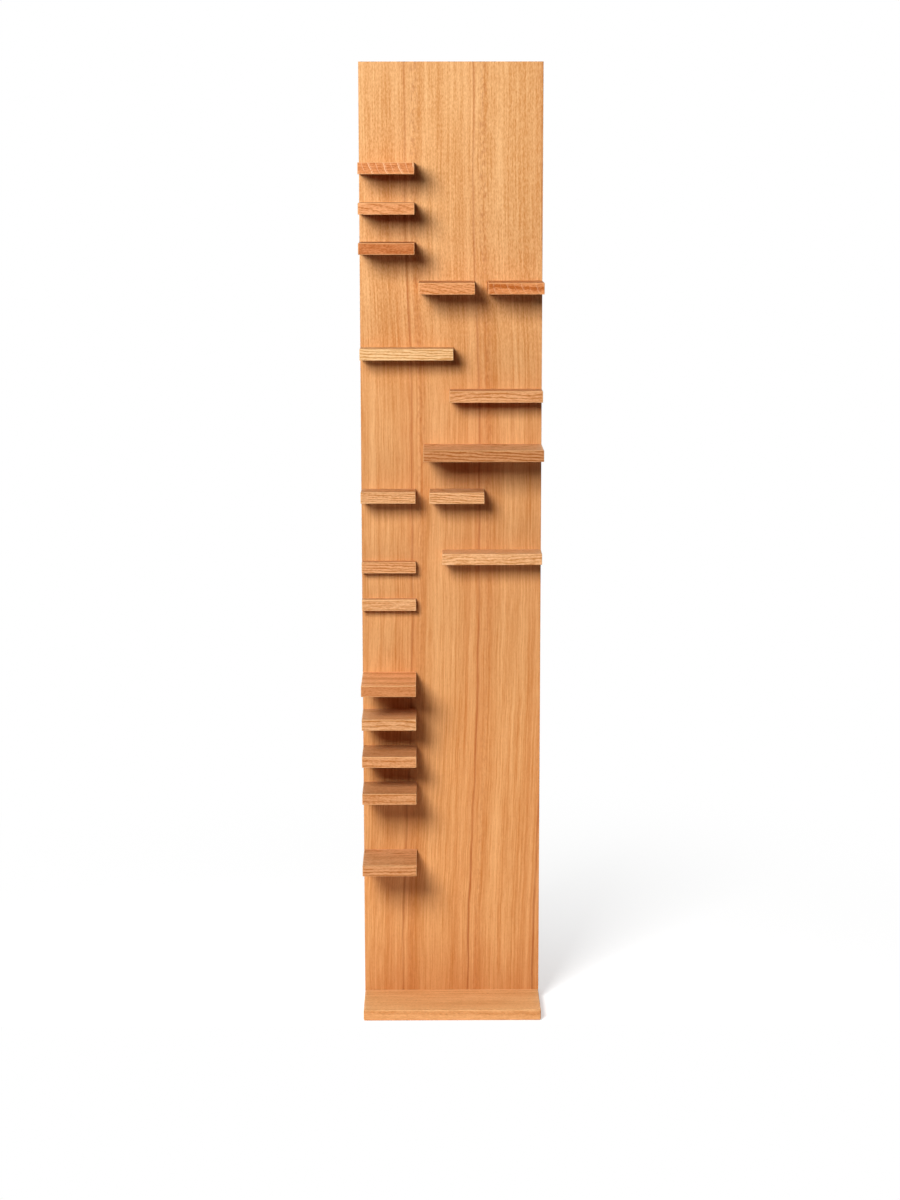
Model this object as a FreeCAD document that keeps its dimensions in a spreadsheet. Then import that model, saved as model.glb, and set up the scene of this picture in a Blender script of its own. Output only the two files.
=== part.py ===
import FreeCAD, Part
import os
import re

import Sketcher
from FreeCAD import Vector

# A free-standing oak "spine" bookshelf: a tall, narrow veneered panel that stands on a flat base plate
# and carries short boards at uneven heights on its front.
#
# Millimetres. +Z is up and the boards point to -Y. The origin is on the floor, at the middle of the
# base plate's underside. Every size is a cell of the sheet "Sizes", and every sub-part is bound to it.

SIZES = [
    # alias, value, meaning
    ("overall_height", 1700, "floor to the panel's top"),
    ("panel_width", 321, "panel and base plate, side to side"),
    ("panel_thickness", 20, "veneer to veneer"),
    ("veneer_thickness", 0.6, "each face"),
    ("veneer_arris", 0.3, "chamfer along the panel's outer edges"),
    ("lipping_thickness", 3, "solid strip on the core's sides and top"),
    ("base_thickness", 20, "base plate"),
    ("base_front", 110, "base plate, in front of the panel"),
    ("base_heel", 40, "base plate, behind the panel"),
    ("base_round", 2.5, "radius on the base plate's edges"),
    ("shelf_thickness", 20, "all shelves and ledges"),
    ("shelf_round", 1, "radius on a shelf's free edges"),
    ("short_length", 97, "short shelf, side to side"),
    ("long_length", 164, "the two long slim shelves"),
    ("wide_length", 210, "the widest shelf"),
    ("low_long_length", 177, "the lowest of the long shelves"),
    ("ledge_depth", 20, "shallow ledge, front to back"),
    ("slim_depth", 52, "slim shelf"),
    ("centre_slim_depth", 57, "slim shelf in the middle of the panel"),
    ("standard_depth", 90, "most of the short shelves"),
    ("broad_depth", 106, "the widest shelf and the lowest one"),
    ("deep_depth", 120, "the deepest shelf"),
    ("upper_pair_gap", 23, "between the upper centre and right shelves"),
    ("lower_pair_gap", 24.5, "between the lower left and centre slim shelves"),
    ("top_margin", 172, "panel's top down to the highest shelf"),
    ("shelf_pitch", 68, "top to top within a stack of shelves"),
    ("left_long_drop", 116, "upper stack's last row down to the left long shelf, top to top"),
    ("right_long_drop", 74, "left long shelf down to the right long shelf, top to top"),
    ("wide_drop", 98, "right long shelf down to the widest shelf, top to top"),
    ("slim_pair_drop", 80, "widest shelf down to the two slim shelves, top to top"),
    ("low_long_drop", 110, "two slim shelves down to the lowest long shelf, top to top"),
    ("deep_drop", 136, "lower ledge down to the deepest shelf, top to top"),
    ("lowest_drop", 128, "lower stack's last row down to the lowest shelf, top to top"),
    ("screw_inset", 18, "shelf's end to its outer screw"),
    ("screw_diameter", 4.5, "shank"),
    ("screw_head_diameter", 9, "countersunk head"),
    ("screw_point", 5, "length of the tapered tip"),
    ("shelf_screw_length", 50, "head to tip"),
    ("ledge_screw_length", 32, "head to tip"),
    ("drive_width", 4.4, "cross recess, tip to tip"),
    ("drive_slot", 1, "cross recess, width of one slot"),
    ("drive_depth", 1.8, "cross recess"),
    ("dowel_diameter", 8, "all dowels"),
    ("dowel_chamfer", 1, "both ends of a dowel"),
    ("dowel_in_panel", 13, "length of a shelf's dowel inside the panel"),
    ("shelf_dowel_length", 34, "end to end"),
    ("ledge_dowel_length", 24, "end to end"),
    ("base_dowel_length", 30, "end to end"),
    ("dowel_in_base", 12, "length of a base dowel inside the base plate"),
    ("base_dowel_spacing", 110, "between the two base dowels"),
    ("bolt_spacing", 110, "between neighbouring base bolts"),
    ("bolt_diameter", 6, "base bolt"),
    ("bolt_length", 66, "under the head"),
    ("bolt_head_diameter", 10, "cylindrical head"),
    ("bolt_head_height", 4, "head"),
    ("bolt_head_recess", 2, "underside of the base plate to the head"),
    ("bolt_socket", 4, "hexagon key, across flats"),
    ("bolt_socket_depth", 2.5, "hexagon key"),
    ("nut_diameter", 10, "barrel nut"),
    ("nut_length", 14, "barrel nut"),
    ("nut_rise", 44, "panel's foot to the barrel nut's axis"),
    ("nut_slot_depth", 1.5, "screwdriver slot in the barrel nut"),
    ("glue_gap", 0.05, "around a dowel or a thread"),
    ("end_gap", 1, "past the end of a dowel, screw or bolt"),
    ("bolt_clearance", 0.25, "around a bolt, its head and a barrel nut"),
    ("screw_clearance", 0.15, "around a screw in the panel"),
    ("cut_overrun", 1, "how far a cutting tool stands out of a face"),
]
SIZE_NAMES = {name for name, value, meaning in SIZES}

# Places worked out from the driving sizes, as formulas
BASE_DEPTH = "(base_front + panel_thickness + base_heel)"
LEFT = "(-panel_width / 2)"
RIGHT = "(panel_width / 2)"
FRONT = f"(base_front - {BASE_DEPTH} / 2)"
REAR = f"({FRONT} + panel_thickness)"
MIDDLE = f"({FRONT} + panel_thickness / 2)"
PANEL_HEIGHT = "(overall_height - base_thickness)"
CORE_THICKNESS = "(panel_thickness - 2 * veneer_thickness)"
CORE_WIDTH = "(panel_width - 2 * lipping_thickness)"
HEAD_DEPTH = "((screw_head_diameter - screw_diameter) / 2)"

# Heights of the shelves' tops, each one measured down from the row above it
ROW_1 = "(overall_height - top_margin)"
ROW_2 = f"({ROW_1} - shelf_pitch)"
ROW_3 = f"({ROW_2} - shelf_pitch)"
ROW_4 = f"({ROW_3} - shelf_pitch)"
LEFT_LONG = f"({ROW_4} - left_long_drop)"
RIGHT_LONG = f"({LEFT_LONG} - right_long_drop)"
WIDE = f"({RIGHT_LONG} - wide_drop)"
SLIM_PAIR = f"({WIDE} - slim_pair_drop)"
LOW_LONG = f"({SLIM_PAIR} - low_long_drop)"
UPPER_LEDGE = f"({LOW_LONG} - shelf_thickness)"
LOWER_LEDGE = f"({UPPER_LEDGE} - shelf_pitch)"
DEEP = f"({LOWER_LEDGE} - deep_drop)"
STACK_2 = f"({DEEP} - shelf_pitch)"
STACK_3 = f"({STACK_2} - shelf_pitch)"
STACK_4 = f"({STACK_3} - shelf_pitch)"
LOWEST = f"({STACK_4} - lowest_drop)"

# Left ends of the shelves that don't start at the panel's left edge
UPPER_RIGHT = f"({RIGHT} - short_length)"
UPPER_CENTRE = f"({UPPER_RIGHT} - upper_pair_gap - short_length)"
LOWER_CENTRE = f"({LEFT} + short_length + lower_pair_gap)"

SHELVES = [
    # node, left end, length, depth, height of the top, is it a ledge?
    ("shelf_01_left", LEFT, "short_length", "standard_depth", ROW_1, False),
    ("shelf_02_left", LEFT, "short_length", "standard_depth", ROW_2, False),
    ("shelf_03_left", LEFT, "short_length", "standard_depth", ROW_3, False),
    ("shelf_04_centre", UPPER_CENTRE, "short_length", "standard_depth", ROW_4, False),
    ("shelf_05_right", UPPER_RIGHT, "short_length", "standard_depth", ROW_4, False),
    ("shelf_06_left_long", LEFT, "long_length", "slim_depth", LEFT_LONG, False),
    ("shelf_07_right_long", f"{RIGHT} - long_length", "long_length", "slim_depth", RIGHT_LONG, False),
    ("shelf_08_right_wide", f"{RIGHT} - wide_length", "wide_length", "broad_depth", WIDE, False),
    ("shelf_09_left_slim", LEFT, "short_length", "slim_depth", SLIM_PAIR, False),
    ("shelf_10_centre_slim", LOWER_CENTRE, "short_length", "centre_slim_depth", SLIM_PAIR, False),
    ("shelf_11_right_slim", f"{RIGHT} - low_long_length", "low_long_length", "slim_depth", LOW_LONG, False),
    ("ledge_12_left", LEFT, "short_length", "ledge_depth", UPPER_LEDGE, True),
    ("ledge_13_left", LEFT, "short_length", "ledge_depth", LOWER_LEDGE, True),
    ("shelf_14_left_deep", LEFT, "short_length", "deep_depth", DEEP, False),
    ("shelf_15_left", LEFT, "short_length", "standard_depth", STACK_2, False),
    ("shelf_16_left", LEFT, "short_length", "standard_depth", STACK_3, False),
    ("shelf_17_left", LEFT, "short_length", "standard_depth", STACK_4, False),
    ("shelf_18_left_low", LEFT, "short_length", "broad_depth", LOWEST, False),
]

TOLERANCE = 1e-6  # for telling a solid's edges apart by their place

doc = FreeCAD.newDocument("spine_bookshelf")
nodes = []


# --- helpers -------------------------------------------------------------------------------------------


def fill_sheet():
    """The sheet of driving sizes: name, value and meaning."""
    sheet = doc.addObject("Spreadsheet::Sheet", "Sizes")
    for row, (name, value, meaning) in enumerate(SIZES, start=1):
        sheet.set(f"A{row}", name)
        sheet.set(f"B{row}", str(value))
        sheet.set(f"C{row}", meaning)
        sheet.setAlias(f"B{row}", name)
    doc.recompute()


def bind(thing, prop, formula):
    """Binds a property to a formula, in which every size is its cell of the sheet."""

    def cell(word):
        return f"Sizes.{word.group(0)}" if word.group(0) in SIZE_NAMES else word.group(0)

    thing.setExpression(prop, re.sub(r"[a-z]\w*", cell, formula))


def place(thing, x, y, z):
    """Binds an object's position."""
    for axis, formula in (("x", x), ("y", y), ("z", z)):
        bind(thing, f"Placement.Base.{axis}", formula)


def as_node(thing):
    """Marks an object as a sub-part to export. Its label names its file."""
    nodes.append(thing)
    return thing


def new_sketch(body, plane, name):
    """An empty sketch on one of the body's own origin planes."""
    sketch = body.newObject("Sketcher::SketchObject", f"{body.Name}_{name}")
    origin_plane = next(f for f in body.Origin.OriginFeatures if f.Role == plane)
    sketch.AttachmentSupport = [(origin_plane, "")]
    sketch.MapMode = "FlatFace"
    return sketch


def dimension(sketch, constraint, name, formula):
    """Adds a constraint whose value is a formula."""
    index = sketch.addConstraint(constraint)
    sketch.renameConstraint(index, name)
    bind(sketch, f"Constraints.{name}", formula)


def joined_rectangle(sketch, corners):
    """Four lines through the rough corners, joined end to end and kept level and upright."""
    for here, there in zip(corners, corners[1:] + corners[:1]):
        sketch.addGeometry(Part.LineSegment(here, there))
    for line in range(4):
        sketch.addConstraint(Sketcher.Constraint("Coincident", line, 2, (line + 1) % 4, 1))
    for line in (0, 2):
        sketch.addConstraint(Sketcher.Constraint("Horizontal", line))
    for line in (1, 3):
        sketch.addConstraint(Sketcher.Constraint("Vertical", line))


def rectangle(sketch, width, depth):
    """A rectangle from the origin to +X and -Y, width by depth."""
    joined_rectangle(sketch, [Vector(0, 0), Vector(2, 0), Vector(2, -1), Vector(0, -1)])
    sketch.addConstraint(Sketcher.Constraint("Coincident", 0, 1, -1, 1))
    dimension(sketch, Sketcher.Constraint("DistanceX", 0, 1, 0, 2, 2), "width", width)
    dimension(sketch, Sketcher.Constraint("DistanceY", 1, 2, 1, 1, 1), "depth", depth)


def centred_rectangle(sketch, width, height):
    """A rectangle about the origin."""
    joined_rectangle(sketch, [Vector(-2, -1), Vector(2, -1), Vector(2, 1), Vector(-2, 1)])
    sketch.addConstraint(Sketcher.Constraint("Symmetric", 0, 1, 2, 1, -1, 1))
    dimension(sketch, Sketcher.Constraint("DistanceX", 0, 1, 0, 2, 4), "width", width)
    dimension(sketch, Sketcher.Constraint("DistanceY", 1, 1, 1, 2, 2), "height", height)


def circles(sketch, spots, diameter):
    """Equal circles at the spots, each (x formula, y formula)."""
    for index, (x, y) in enumerate(spots):
        sketch.addGeometry(Part.Circle(Vector(10 * (index + 1), 10), Vector(0, 0, 1), 3))
        dimension(sketch, Sketcher.Constraint("Diameter", index, 6), f"diameter_{index}", diameter)
        dimension(sketch, Sketcher.Constraint("DistanceX", -1, 1, index, 3, 10), f"x_{index}", x)
        dimension(sketch, Sketcher.Constraint("DistanceY", -1, 1, index, 3, 10), f"y_{index}", y)


def polygon(sketch, corners):
    """A closed outline through the corners, each (x formula, y formula)."""
    count = len(corners)
    rough = [Vector(i + 1, -i) for i in range(count)]
    for index in range(count):
        sketch.addGeometry(Part.LineSegment(rough[index], rough[(index + 1) % count]))
    for index, (x, y) in enumerate(corners):
        sketch.addConstraint(Sketcher.Constraint("Coincident", index, 2, (index + 1) % count, 1))
        dimension(sketch, Sketcher.Constraint("DistanceX", -1, 1, index, 1, 1), f"x_{index}", x)
        dimension(sketch, Sketcher.Constraint("DistanceY", -1, 1, index, 1, -1), f"y_{index}", y)


def pad(body, sketch, length):
    """Raises the sketch along its normal."""
    feature = body.newObject("PartDesign::Pad", f"{body.Name}_pad")
    feature.Profile = sketch
    bind(feature, "Length", length)
    return feature


def pocket(body, sketch, name, depth, reverse=False):
    """Cuts the sketch into the body, and makes sure that the cut took wood away."""
    doc.recompute()
    before = body.Shape.Volume
    feature = body.newObject("PartDesign::Pocket", f"{body.Name}_{name}")
    feature.Profile = sketch
    feature.Reversed = reverse
    bind(feature, "Length", depth)
    doc.recompute()
    if not body.Shape.Volume < before:
        raise RuntimeError(f"{feature.Name} cut nothing")
    return feature


def revolved(name, plane, corners):
    """A turned solid: a half profile spun about the plane's second axis."""
    body = doc.addObject("PartDesign::Body", name)
    sketch = new_sketch(body, plane, "profile")
    polygon(sketch, corners)
    feature = body.newObject("PartDesign::Revolution", f"{name}_turned")
    feature.Profile = sketch
    feature.ReferenceAxis = (sketch, ["V_Axis"])
    feature.Angle = 360
    return body


def board(name, length, depth, thickness):
    """A flat board from its left rear bottom corner: length to +X, depth to -Y, thickness to +Z."""
    body = doc.addObject("PartDesign::Body", name)
    sketch = new_sketch(body, "XY_Plane", "outline")
    rectangle(sketch, length, depth)
    pad(body, sketch, thickness)
    doc.recompute()
    return body


def edges_where(body, wanted):
    """Names of the body's straight edges whose middle point passes the test."""
    names = []
    for number, edge in enumerate(body.Tip.Shape.Edges, start=1):
        middle = edge.valueAt((edge.FirstParameter + edge.LastParameter) / 2)
        if wanted(middle):
            names.append(f"Edge{number}")
    return names


def dress_edges(body, kind, size, wanted):
    """Rounds ("Fillet") or bevels ("Chamfer") the chosen edges."""
    base = body.Tip
    names = edges_where(body, wanted)
    feature = body.newObject(f"PartDesign::{kind}", f"{body.Name}_edges")
    feature.Base = (base, names)
    bind(feature, "Radius" if kind == "Fillet" else "Size", size)
    doc.recompute()


def copies(name, master, spots):
    """One group of equal solids: a link to the master at each spot (x, y, z)."""
    links = []
    for index, (x, y, z) in enumerate(spots, start=1):
        link = doc.addObject("App::Link", f"{name}_{index:02d}")
        link.LinkedObject = master
        place(link, x, y, z)
        links.append(link)
    group = doc.addObject("Part::Compound", name)
    group.Links = links
    return group


def cut(name, blank, tools):
    """The blank less all the tools."""
    drilled = doc.addObject("Part::Cut", name)
    drilled.Base = blank
    drilled.Tool = tools
    return drilled


# --- fixings: what is where ----------------------------------------------------------------------------


def screw_places(length):
    """Distances from a shelf's left end to its screws: a third one in the middle of a long shelf."""
    ends = ["screw_inset", f"{length} - screw_inset"]
    if length != "short_length":
        ends.insert(1, f"{length} / 2")
    return ends


def dowel_places(length):
    """Distances from a shelf's left end to its dowels, which lie halfway between the screws."""
    if length == "short_length":
        return [f"{length} / 2"]
    quarter = f"(screw_inset + {length} / 2) / 2"
    return [quarter, f"{length} - {quarter}"]


def fixing_spots(places, depth_formula, ledges):
    """Where the fixings of all shelves, or of all ledges, meet the plane y = depth_formula."""
    spots = []
    for node, left, length, depth, top, is_ledge in SHELVES:
        if is_ledge == ledges:
            height = f"{top} - shelf_thickness / 2"
            spots += [(f"{left} + {along}", depth_formula, height) for along in places(length)]
    return spots


# --- sub-parts -----------------------------------------------------------------------------------------


def make_base_plate(bolt_xs, dowel_xs):
    """The floor plate: counterbored for the bolts from below, drilled for the dowels from above."""
    body = board("base_plate", "panel_width", BASE_DEPTH, "base_thickness")
    dress_edges(body, "Fillet", "base_round", lambda point: True)
    under_panel = "-(base_heel + panel_thickness / 2)"

    def in_plate(xs):
        return [(f"{x} + panel_width / 2", under_panel) for x in xs]

    bolt_holes = new_sketch(body, "XY_Plane", "bolt_holes")
    circles(bolt_holes, in_plate(bolt_xs), "bolt_diameter + 2 * bolt_clearance")
    pocket(body, bolt_holes, "drilled", "base_thickness + cut_overrun", reverse=True)

    counterbores = new_sketch(body, "XY_Plane", "counterbores")
    circles(counterbores, in_plate(bolt_xs), "bolt_head_diameter + 2 * bolt_clearance")
    pocket(body, counterbores, "counterbored", "bolt_head_recess + bolt_head_height", reverse=True)

    dowel_holes = new_sketch(body, "XY_Plane", "dowel_holes")
    bind(dowel_holes, "AttachmentOffset.Base.z", "base_thickness")
    circles(dowel_holes, in_plate(dowel_xs), "dowel_diameter + 2 * glue_gap")
    pocket(body, dowel_holes, "dowel_drilled", "dowel_in_base + end_gap")

    place(body, LEFT, f"{BASE_DEPTH} / 2", "0")
    return as_node(body)


def make_shelf(node, left, length, depth, top, is_ledge):
    """One solid oak shelf, rounded on its free edges, drilled in its rear edge."""
    body = board(node, length, depth, "shelf_thickness")
    dress_edges(body, "Fillet", "shelf_round", lambda point: point.y < -TOLERANCE)
    screw_length = "ledge_screw_length" if is_ledge else "shelf_screw_length"
    dowel_length = "ledge_dowel_length" if is_ledge else "shelf_dowel_length"
    half = "shelf_thickness / 2"

    pilots = new_sketch(body, "XZ_Plane", "screw_pilots")
    circles(pilots, [(x, half) for x in screw_places(length)], "screw_diameter + 2 * glue_gap")
    pocket(body, pilots, "screw_drilled", f"{screw_length} - panel_thickness + end_gap", reverse=True)

    sockets = new_sketch(body, "XZ_Plane", "dowel_sockets")
    circles(sockets, [(x, half) for x in dowel_places(length)], "dowel_diameter + 2 * glue_gap")
    pocket(body, sockets, "dowel_drilled", f"{dowel_length} - dowel_in_panel + end_gap", reverse=True)

    place(body, left, FRONT, f"{top} - shelf_thickness")
    return as_node(body)


def make_box(name, length, width, height, x, y, z):
    """A plain rectangular piece from its lowest corner."""
    piece = doc.addObject("Part::Box", name)
    for prop, formula in (("Length", length), ("Width", width), ("Height", height)):
        bind(piece, prop, formula)
    place(piece, x, y, z)
    return piece


def make_veneer_blank(name, outer_is_front):
    """A sheet of veneer as tall and wide as the panel, its outer edges lightly bevelled."""
    body = board(name, "panel_width", "veneer_thickness", PANEL_HEIGHT)
    blank = body.Tip.Shape.BoundBox
    outer_y = blank.YMin if outer_is_front else blank.YMax

    def on_rim(point):
        return abs(point.y - outer_y) < TOLERANCE and point.z > blank.ZMin + TOLERANCE

    dress_edges(body, "Chamfer", "veneer_arris", on_rim)
    rear_of_sheet = f"{FRONT} + veneer_thickness" if outer_is_front else REAR
    place(body, LEFT, rear_of_sheet, "base_thickness")
    return body


def make_lippings():
    """Solid strips that cover the core's two sides and its top."""
    strip_y = f"{FRONT} + veneer_thickness"
    inside_left = f"{LEFT} + lipping_thickness"
    inside_right = f"{RIGHT} - lipping_thickness"
    upright = ("lipping_thickness", CORE_THICKNESS, PANEL_HEIGHT)
    as_node(make_box("panel_lipping_left", *upright, LEFT, strip_y, "base_thickness"))
    as_node(make_box("panel_lipping_right", *upright, inside_right, strip_y, "base_thickness"))
    as_node(make_box("panel_lipping_top", CORE_WIDTH, CORE_THICKNESS, "lipping_thickness",
                     inside_left, strip_y, "overall_height - lipping_thickness"))


def make_panel(screw_tools, dowel_tools, foot_tools):
    """The laminated panel: a core between two veneers, each drilled by the tools that reach it."""
    core_height = f"{PANEL_HEIGHT} - lipping_thickness"
    core_blank = make_box("core_blank", CORE_WIDTH, CORE_THICKNESS, core_height,
                          f"{LEFT} + lipping_thickness", f"{FRONT} + veneer_thickness", "base_thickness")
    all_tools = doc.addObject("Part::Compound", "core_tools")
    all_tools.Links = screw_tools + dowel_tools + foot_tools
    as_node(cut("panel_core", core_blank, all_tools))

    front_tools = doc.addObject("Part::Compound", "front_veneer_tools")
    front_tools.Links = screw_tools + dowel_tools
    as_node(cut("panel_veneer_front", make_veneer_blank("front_veneer_blank", True), front_tools))

    rear_tools = doc.addObject("Part::Compound", "rear_veneer_tools")
    rear_tools.Links = screw_tools + foot_tools
    as_node(cut("panel_veneer_rear", make_veneer_blank("rear_veneer_blank", False), rear_tools))


def make_screw(name, length):
    """A countersunk wood screw with its head in the plane y = 0 and its tip at y = -length."""
    body = revolved(name, "XY_Plane", [
        ("0", "0"),
        ("screw_head_diameter / 2", "0"),
        ("screw_diameter / 2", f"-{HEAD_DEPTH}"),
        ("screw_diameter / 2", f"-({length} - screw_point)"),
        ("0", f"-{length}"),
    ])
    for number, (across, up) in enumerate((("drive_width", "drive_slot"), ("drive_slot", "drive_width"))):
        slot = new_sketch(body, "XZ_Plane", f"slot_{number}")
        centred_rectangle(slot, across, up)
        pocket(body, slot, f"drive_{number}", "drive_depth", reverse=True)
    return body


def make_screw_passage():
    """The tool for one screw's way through the panel: a countersink and a clearance hole."""
    return revolved("screw_passage", "XY_Plane", [
        ("0", "cut_overrun"),
        ("screw_head_diameter / 2 + screw_clearance", "cut_overrun"),
        ("screw_head_diameter / 2 + screw_clearance", "0"),
        ("screw_diameter / 2 + screw_clearance", f"-{HEAD_DEPTH}"),
        ("screw_diameter / 2 + screw_clearance", "-(panel_thickness + cut_overrun)"),
        ("0", "-(panel_thickness + cut_overrun)"),
    ])


def make_dowel(name, plane, length):
    """A round dowel with chamfered ends, from the origin to minus its length."""
    radius = "dowel_diameter / 2"
    return revolved(name, plane, [
        ("0", "0"),
        (f"{radius} - dowel_chamfer", "0"),
        (radius, "-dowel_chamfer"),
        (radius, f"-({length} - dowel_chamfer)"),
        (f"{radius} - dowel_chamfer", f"-{length}"),
        ("0", f"-{length}"),
    ])


def make_rod(name, plane, radius, start, end):
    """A plain round tool along the plane's second axis."""
    return revolved(name, plane, [("0", start), (radius, start), (radius, end), ("0", end)])


def make_bolt():
    """A base bolt: its head's lower face at z = 0, its shank upwards."""
    tip = "bolt_head_height + bolt_length"
    body = revolved("base_bolt", "XZ_Plane", [
        ("0", "0"),
        ("bolt_head_diameter / 2", "0"),
        ("bolt_head_diameter / 2", "bolt_head_height"),
        ("bolt_diameter / 2", "bolt_head_height"),
        ("bolt_diameter / 2", tip),
        ("0", tip),
    ])
    key = new_sketch(body, "XY_Plane", "key")
    half = "bolt_socket / 2"
    corner = "bolt_socket / sqrt(3)"
    polygon(key, [
        (f"-{corner} / 2", f"-{half}"),
        (f"{corner} / 2", f"-{half}"),
        (corner, "0"),
        (f"{corner} / 2", half),
        (f"-{corner} / 2", half),
        (f"-{corner}", "0"),
    ])
    pocket(body, key, "socket", "bolt_socket_depth", reverse=True)
    return body


def make_barrel_nut():
    """A cross nut: a short steel rod along Y about the origin, tapped across for the bolt."""
    half = "nut_length / 2"
    body = revolved("barrel_nut", "XY_Plane", [
        ("0", half),
        ("nut_diameter / 2", half),
        ("nut_diameter / 2", f"-{half}"),
        ("0", f"-{half}"),
    ])
    thread = new_sketch(body, "XY_Plane", "thread")
    bind(thread, "AttachmentOffset.Base.z", "-nut_diameter")
    circles(thread, [("0", "0")], "bolt_diameter + 2 * glue_gap")
    pocket(body, thread, "tapped", "2 * nut_diameter", reverse=True)
    slot = new_sketch(body, "XZ_Plane", "slot")
    bind(slot, "AttachmentOffset.Base.z", f"-{half}")
    centred_rectangle(slot, "nut_diameter + cut_overrun", "drive_slot")
    pocket(body, slot, "slotted", "nut_slot_depth", reverse=True)
    return body


def check_and_export():
    """Stops on any failed object or bad shape, and writes one STEP file for each node."""
    doc.recompute()
    for thing in doc.Objects:
        if "Invalid" in thing.State or "Error" in thing.State:
            raise RuntimeError(f"{thing.Name} failed: {thing.State}")
    for node in nodes:
        if node.Shape.isNull() or not node.Shape.isValid():
            raise RuntimeError(f"{node.Label} has no valid shape")
    os.makedirs("parts", exist_ok=True)
    for node in nodes:
        node.Shape.exportStep(f"parts/{node.Label}.step")
        box = node.Shape.BoundBox
        print(f"{node.Label}: {len(node.Shape.Solids)} solids, x {box.XMin:.1f} to {box.XMax:.1f}, "
              f"y {box.YMin:.1f} to {box.YMax:.1f}, z {box.ZMin:.1f} to {box.ZMax:.1f}")


def main():
    fill_sheet()
    bolt_xs = ["-bolt_spacing", "0", "bolt_spacing"]
    dowel_xs = ["-base_dowel_spacing / 2", "base_dowel_spacing / 2"]
    make_base_plate(bolt_xs, dowel_xs)

    # the ways through the panel
    shelf_screw_spots = fixing_spots(screw_places, REAR, False)
    ledge_screw_spots = fixing_spots(screw_places, REAR, True)
    socket_spots = fixing_spots(dowel_places, FRONT, False) + fixing_spots(dowel_places, FRONT, True)
    nut_spots = [(x, MIDDLE, "base_thickness + nut_rise") for x in bolt_xs]
    foot_bolt_spots = [(x, MIDDLE, "base_thickness") for x in bolt_xs]
    foot_dowel_spots = [(x, MIDDLE, "base_thickness") for x in dowel_xs]
    screw_tools = [copies("screw_tools", make_screw_passage(), shelf_screw_spots + ledge_screw_spots)]

    dowel_radius = "dowel_diameter / 2 + glue_gap"
    bolt_radius = "bolt_diameter / 2 + bolt_clearance"
    nut_radius = "nut_diameter / 2 + bolt_clearance"
    dowel_socket = make_rod("dowel_socket", "XY_Plane", dowel_radius, "-cut_overrun",
                            "dowel_in_panel + end_gap")
    dowel_tools = [copies("dowel_tools", dowel_socket, socket_spots)]
    above_head = "bolt_length + bolt_head_height + bolt_head_recess - base_thickness + end_gap"
    bolt_way = make_rod("bolt_way", "XZ_Plane", bolt_radius, "-cut_overrun", above_head)
    foot_socket = make_rod("foot_socket", "XZ_Plane", dowel_radius, "-cut_overrun",
                           "base_dowel_length - dowel_in_base + end_gap")
    nut_way = make_rod("nut_way", "XY_Plane", nut_radius, "-nut_length / 2 - bolt_clearance",
                       "panel_thickness / 2 + cut_overrun")
    foot_tools = [
        copies("bolt_tools", bolt_way, foot_bolt_spots),
        copies("foot_socket_tools", foot_socket, foot_dowel_spots),
        copies("nut_tools", nut_way, nut_spots),
    ]

    make_panel(screw_tools, dowel_tools, foot_tools)
    make_lippings()
    for shelf in SHELVES:
        make_shelf(*shelf)

    # the fixings themselves
    in_panel = f"{FRONT} + dowel_in_panel"
    shelf_screw = make_screw("shelf_screw", "shelf_screw_length")
    ledge_screw = make_screw("ledge_screw", "ledge_screw_length")
    shelf_dowel = make_dowel("shelf_dowel", "XY_Plane", "shelf_dowel_length")
    ledge_dowel = make_dowel("ledge_dowel", "XY_Plane", "ledge_dowel_length")
    base_dowel = make_dowel("base_dowel", "XZ_Plane", "base_dowel_length")
    base_dowel_top = "base_thickness - dowel_in_base + base_dowel_length"
    as_node(copies("shelf_screws", shelf_screw, shelf_screw_spots))
    as_node(copies("ledge_screws", ledge_screw, ledge_screw_spots))
    as_node(copies("shelf_dowels", shelf_dowel, fixing_spots(dowel_places, in_panel, False)))
    as_node(copies("ledge_dowels", ledge_dowel, fixing_spots(dowel_places, in_panel, True)))
    as_node(copies("base_dowels", base_dowel, [(x, MIDDLE, base_dowel_top) for x in dowel_xs]))
    as_node(copies("base_bolts", make_bolt(), [(x, MIDDLE, "bolt_head_recess") for x in bolt_xs]))
    as_node(copies("barrel_nuts", make_barrel_nut(), nut_spots))
    check_and_export()


main()
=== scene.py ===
"""Looks of a free-standing oak spine bookshelf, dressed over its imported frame.

Metres, +Z up, the shelves point to -Y. Grain is worked out in millimetres. Every node keeps its own
mesh and gets a finish made of nodes: slip-matched veneer on the panel's faces, solid oak on its edges,
the boards and the base plate, zinc-plated steel and bare beech on the fixings, wood fibre in the core.
"""

import logging
import math
from dataclasses import dataclass, field
from enum import Enum
from typing import ClassVar, Sequence, Union

import bpy
from mathutils import Matrix, Vector


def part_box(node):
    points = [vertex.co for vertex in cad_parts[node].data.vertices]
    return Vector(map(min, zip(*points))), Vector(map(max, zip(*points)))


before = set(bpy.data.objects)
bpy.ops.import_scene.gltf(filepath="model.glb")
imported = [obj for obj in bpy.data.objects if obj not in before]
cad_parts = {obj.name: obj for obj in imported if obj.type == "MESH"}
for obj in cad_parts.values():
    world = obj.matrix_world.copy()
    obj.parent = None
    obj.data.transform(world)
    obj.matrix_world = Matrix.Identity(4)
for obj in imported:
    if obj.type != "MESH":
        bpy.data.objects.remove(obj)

logging.basicConfig(level=logging.INFO, format="%(name)s: %(message)s")
log = logging.getLogger("spine_bookshelf")

Material = bpy.types.Material
Node = bpy.types.Node
Socket = bpy.types.NodeSocket
Value = Union[Socket, float]
Colour = tuple[float, float, float]
Pair = tuple[float, float]
Triple = tuple[float, float, float]
Change = tuple[float, float, float, float]  # between which two values, and from what to what

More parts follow.
